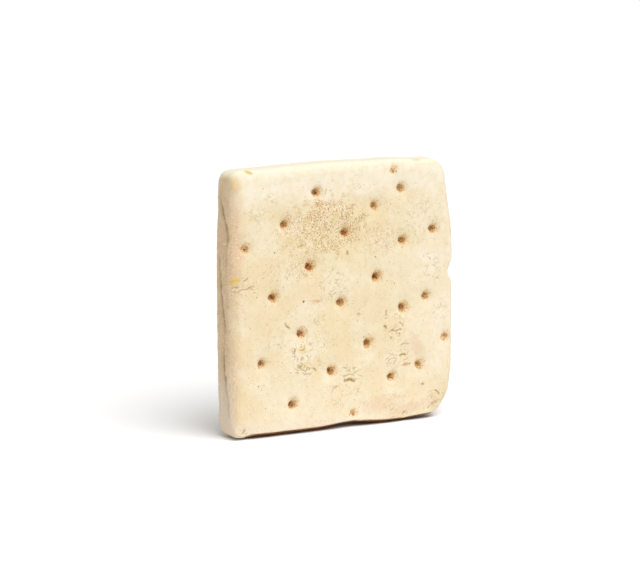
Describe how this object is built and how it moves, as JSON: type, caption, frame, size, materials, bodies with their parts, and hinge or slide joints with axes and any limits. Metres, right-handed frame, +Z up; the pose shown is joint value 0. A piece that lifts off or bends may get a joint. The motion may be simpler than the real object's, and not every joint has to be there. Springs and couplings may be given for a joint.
{
  "type": "hardtack biscuit",
  "caption": "Thick, nearly square hardtack biscuit with rolled edges, docked all over with small pits in slanting rows, standing on its lower edge.",
  "frame": {"origin": "middle of the part's box in plan, at the level of the foot it stands on", "axes": "+Z up along its height, +X to the right along its width as its docked front face is seen, -Y out of that front face"},
  "size_m": [0.0774, 0.0118, 0.0803],
  "materials": {
    "baked_dough": "dry, matt and floury, pale cream with small browned pits"
  },
  "bodies": {
    "root": {"biscuit": "baked_dough"}
  },
  "joints": []
}
